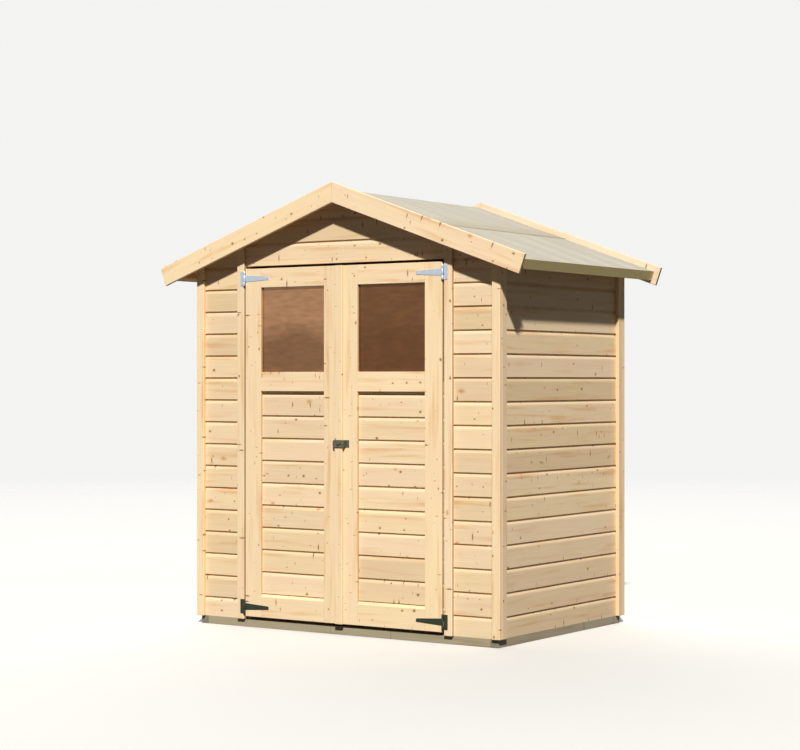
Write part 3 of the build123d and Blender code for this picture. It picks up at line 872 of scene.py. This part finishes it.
class SHED_OT_felt(bpy.types.Operator):
    """Felt sheets of the roof"""

    bl_idname = "shed.felt"
    bl_label = "Roof felt"

    def execute(self, context):
        material = felt_material()
        for node in ("roof_felt_left", "roof_felt_right", "roof_felt_ridge"):
            bm = merged(node)
            ease_edges(bm, 0.0008, math.radians(12))
            mesh = mesh_from(bm, node + "_sheet")
            smooth(mesh, 0.5, 0.004)
            faces = mesh.polygons
            # fold marks the turned-down faces that get painted warm light; lap marks the ridge sheet, whose
            # lower edge gets painted shade.
            fold = [float(abs(p.normal.z) < 0.6) for p in faces]
            for name, values in (("fold", fold), ("lap", [float("ridge" in node)] * len(faces))):
                mesh.attributes.new(name, "FLOAT", "FACE").data.foreach_set("value", values)
            place_piece(node + "_sheet", mesh, [material], [node])
        return {"FINISHED"}


class SHED_OT_doors(bpy.types.Operator):
    """Stiles, rails, boards and beads of both leaves, and the cover strip"""

    bl_idname = "shed.doors"
    bl_label = "Door leaves"

    def execute(self, context):
        for side in ("left", "right"):
            # Edge 1.5 on the stiles adds painted shade to their narrow faces.
            for part, edge in (("stiles", 1.5), ("rails", 1.0), ("beads", 1.0)):
                dress_timber(f"{side}_door_{part}", edge=edge)
            lay_wall(f"{side}_door_boards", Y, context.scene.shed_sizes.door_start)
        dress_timber("door_cover_strip")
        return {"FINISHED"}


class SHED_OT_panes(bpy.types.Operator):
    """Tinted panes of the door leaves"""

    bl_idname = "shed.panes"
    bl_label = "Panes"

    def execute(self, context):
        material = acrylic_material()
        for side in ("left", "right"):
            node = f"{side}_door_pane"
            bm = merged(node)
            ease_edges(bm, 0.0004, math.radians(40))
            mesh = mesh_from(bm, node + "_sheet")
            smooth(mesh, flat_area=0.0)
            # How much painted reflection each pane shows: the left one much more than the right.
            painted_reflection = mesh.attributes.new("painted_reflection", "FLOAT", "FACE")
            painted_reflection.data.foreach_set("value", [1.0 if side == "left" else 0.14] * len(mesh.polygons))
            place_piece(node + "_sheet", mesh, [material], [node])
        return {"FINISHED"}


class SHED_OT_fittings(bpy.types.Operator):
    """T-hinges and hasp"""

    bl_idname = "shed.fittings"
    bl_label = "Hinges and hasp"

    def execute(self, context):
        tints = context.scene.shed_colours
        zinc = steel("zinc_plate", tints.zinc, 0.42, 0.85)
        green = steel("green_steel", tints.green_steel, 0.45, 0.3)
        olive = steel("olive_steel", tints.olive_steel, 0.42, 0.55)
        for node in ("hinge_jamb_plates", "left_door_hinge_straps", "right_door_hinge_straps"):
            dress_metal(node, [green, zinc], lambda height: int(height > 1.0))
        for node in ("hasp_plate", "hasp_strap", "hasp_staple"):
            dress_metal(node, [olive], lambda height: 0)
        return {"FINISHED"}


class SHED_OT_fasteners(bpy.types.Operator):
    """Nails in trims, bargeboards and door frames, and screws in the fittings"""

    bl_idname = "shed.fasteners"
    bl_label = "Nails and screws"

    def execute(self, context):
        size, tints = context.scene.shed_sizes, context.scene.shed_colours
        nail = steel("nail_steel", tints.nail, 0.45, 0.7)
        zinc = bpy.data.materials["zinc_plate"]
        green = bpy.data.materials["green_steel"]
        olive = bpy.data.materials["olive_steel"]

        shed, heights = [], [0.11, 0.47, 0.83, 1.19, 1.55]
        for sign in (-1, 1):
            for z in heights + [1.775]:
                shed.append(((sign * 0.8865, -TRIM_FACE, z), (0, -1, 0)))
                shed.append(((sign * 0.8865, TRIM_FACE, z), (0, 1, 0)))
                for y in (-0.5775, 0.5775):
                    shed.append(((sign * 0.909, y, z + 0.03), (sign, 0, 0)))
            for z in (0.19, 0.56, 0.93, 1.30, 1.67, 1.885):
                shed.append(((sign * 0.630, -TRIM_FACE, z), (0, -1, 0)))
            down = DOWN_RIGHT if sign > 0 else DOWN_LEFT
            inner = Vector((down.z if sign > 0 else -down.z, 0, -abs(down.x)))
            apex = Vector((0, 0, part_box("front_bargeboard_right")[1].z))
            for along in (0.07, 0.34, 0.61, 0.88, 1.09):
                for across in (0.022, 0.074):
                    spot = apex + down * along + inner * across
                    for aim in (-1, 1):
                        shed.append(((spot.x, aim * BARGEBOARD_FACE, spot.z), (0, aim, 0)))
        set_fasteners("shed_nails", nail_head_mesh(), shed, size.nail_head, nail, "shed")

        for side, sign in (("left", -1), ("right", 1)):
            body = f"{side}_door"
            nails = []
            for x in (0.052, 0.541):
                for middle in (0.113, 1.239, 1.759):
                    for rise in (-0.026, 0.026):
                        if x < 0.1 or middle == 1.239:
                            nails.append(((sign * x, -TRIM_FACE, middle + rise), (0, -1, 0)))
            set_fasteners(
                body + "_nails", nail_head_mesh(), nails, size.nail_head, nail, body
            )
            for level, material, where in ((LOWER_HINGE, green, "lower"), (UPPER_HINGE, zinc, "upper")):
                strap = [((sign * x, -FITTING_FACE, level), (0, -1, 0)) for x in (0.562, 0.512, 0.462)]
                set_fasteners(
                    f"{body}_{where}_hinge_screws", screw_head_mesh(), strap, size.screw_head, material,
                    body,
                )
                plate = [
                    ((sign * 0.6125, -FITTING_FACE, level + rise), (0, -1, 0))
                    for rise in (-0.026, 0.0, 0.026)
                ]
                set_fasteners(
                    f"{where}_{side}_jamb_screws", screw_head_mesh(), plate, size.screw_head, material,
                    "shed",
                )
        foot = [((0.043, -FITTING_FACE, HASP_LEVEL + rise), (0, -1, 0)) for rise in (-0.010, 0.010)]
        set_fasteners(
            "hasp_foot_screws", screw_head_mesh(), foot, size.screw_head, olive, "right_door"
        )
        return {"FINISHED"}


class SHED_OT_stage(bpy.types.Operator):
    """Pale floor, soft key light, even fill and the camera"""

    bl_idname = "shed.stage"
    bl_label = "Stage"

    def execute(self, context):
        scene, tints, light = context.scene, context.scene.shed_colours, context.scene.shed_light
        bm = bmesh.new()
        bmesh.ops.create_circle(bm, cap_ends=True, segments=96, radius=60.0)
        for vert in bm.verts:
            vert.co.z = -0.0004
        ground = bpy.data.objects.new("studio_floor", mesh_from(bm, "studio_floor"))
        scene.collection.objects.link(ground)
        shader = Shader("studio_floor")
        place = shader.add("ShaderNodeTexCoord").outputs["Object"]
        cloud = shader.noise(place, 3.0, 0.35)
        tint = shader.mix(shader.spread(cloud, 0.3, 0.7), tints.floor, [c * 0.985 for c in tints.floor])
        seen = shader.add("ShaderNodeLightPath").outputs["Is Camera Ray"]
        shader.set(base_color=shader.mix(seen, tints.floor_bounce, tint), roughness=0.9)
        away = shader.add("ShaderNodeVectorMath", {0: place}, operation="LENGTH").outputs["Value"]
        clear = shader.add("ShaderNodeBsdfTransparent").outputs[0]
        far = shader.spread(away, 5.0, 16.0)
        fade = shader.add("ShaderNodeMixShader", {0: far, 1: shader.surface.outputs[0], 2: clear})
        shader.tree.links.new(fade.outputs[0], shader.tree.nodes["Material Output"].inputs["Surface"])
        ground.data.materials.append(shader.material)

        lamp = bpy.data.lights.new("key", "SUN")
        lamp.energy, lamp.angle, lamp.color = light.key, light.key_size, (1.0, 0.975, 0.93)
        key = bpy.data.objects.new("key", lamp)
        key.rotation_mode = "QUATERNION"
        key.rotation_quaternion = TO_SUN.to_track_quat("Z", "Y")
        scene.collection.objects.link(key)

        world = bpy.data.worlds.new("studio")
        world.use_nodes = True
        tree = world.node_tree
        tree.nodes.clear()
        path = tree.nodes.new("ShaderNodeLightPath")
        seen = tree.nodes.new("ShaderNodeMath")
        seen.operation = "MAXIMUM"
        tree.links.new(path.outputs["Is Camera Ray"], seen.inputs[0])
        tree.links.new(path.outputs["Is Transmission Ray"], seen.inputs[1])
        mirror = tree.nodes.new("ShaderNodeMath")
        mirror.operation = "MAXIMUM"
        tree.links.new(seen.outputs[0], mirror.inputs[0])
        tree.links.new(path.outputs["Is Glossy Ray"], mirror.inputs[1])
        fill = tree.nodes.new("ShaderNodeBackground")
        fill.inputs["Color"].default_value = (1.0, 0.985, 0.96, 1.0)
        toward = tree.nodes.new("ShaderNodeTexCoord")
        behind = tree.nodes.new("ShaderNodeVectorMath")
        behind.operation = "DOT_PRODUCT"
        behind.inputs[1].default_value = TO_BACK_FILL
        tree.links.new(toward.outputs["Generated"], behind.inputs[0])
        soften = tree.nodes.new("ShaderNodeMapRange")
        soften.interpolation_type = "SMOOTHSTEP"
        reach = {"From Min": 0.66, "From Max": 1.0, "To Min": light.fill, "To Max": light.back_fill}
        for socket, value in reach.items():
            soften.inputs[socket].default_value = value
        tree.links.new(behind.outputs["Value"], soften.inputs["Value"])
        tree.links.new(soften.outputs["Result"], fill.inputs["Strength"])
        pale = tree.nodes.new("ShaderNodeBackground")
        pale.inputs["Color"].default_value = (0.90, 0.90, 0.89, 1.0)
        pale.inputs["Strength"].default_value = 1.0
        choose = tree.nodes.new("ShaderNodeMixShader")
        tree.links.new(mirror.outputs[0], choose.inputs[0])
        tree.links.new(fill.outputs[0], choose.inputs[1])
        tree.links.new(pale.outputs[0], choose.inputs[2])
        output = tree.nodes.new("ShaderNodeOutputWorld")
        tree.links.new(choose.outputs[0], output.inputs["Surface"])
        scene.world = world

        lens = bpy.data.cameras.new("camera")
        lens.sensor_width, lens.lens, lens.shift_y = 36.0, 90.686, 0.0065
        lens.clip_end = 200.0
        camera = bpy.data.objects.new("camera", lens)
        camera.location = (5.7466, -8.619, 1.246)
        camera.rotation_euler = (math.radians(90), 0, math.radians(34))
        scene.collection.objects.link(camera)
        scene.camera = camera
        scene.view_settings.view_transform = "Standard"
        return {"FINISHED"}


STEPS = (
    SHED_OT_stage, SHED_OT_walls, SHED_OT_floor_and_deck, SHED_OT_framing, SHED_OT_trims, SHED_OT_felt,
    SHED_OT_doors, SHED_OT_panes, SHED_OT_fittings, SHED_OT_fasteners,
)


class SHED_PT_panel(bpy.types.Panel):
    """Lists the sizes, colours and steps of the shed"""

    bl_idname = "SHED_PT_panel"
    bl_label = "Garden shed"
    bl_space_type = "VIEW_3D"
    bl_region_type = "UI"
    bl_category = "Shed"

    def draw(self, context):
        scene = context.scene
        for group in (scene.shed_sizes, scene.shed_colours, scene.shed_light):
            box = self.layout.box()
            for name in group.__annotations__:
                box.prop(group, name)
        for step in STEPS:
            self.layout.operator(step.bl_idname)


GROUPS = {"shed_sizes": ShedSizes, "shed_colours": ShedColours, "shed_light": ShedLight}


def register():
    for kind in (*GROUPS.values(), *STEPS, SHED_PT_panel):
        bpy.utils.register_class(kind)
    for name, kind in GROUPS.items():
        setattr(bpy.types.Scene, name, PointerProperty(type=kind))


def unregister():
    for name in GROUPS:
        delattr(bpy.types.Scene, name)
    for kind in reversed((*GROUPS.values(), *STEPS, SHED_PT_panel)):
        bpy.utils.unregister_class(kind)


def main():
    register()
    for step in STEPS:
        group, name = step.bl_idname.split(".")
        getattr(getattr(bpy.ops, group), name)()


if __name__ == "__main__":
    main()
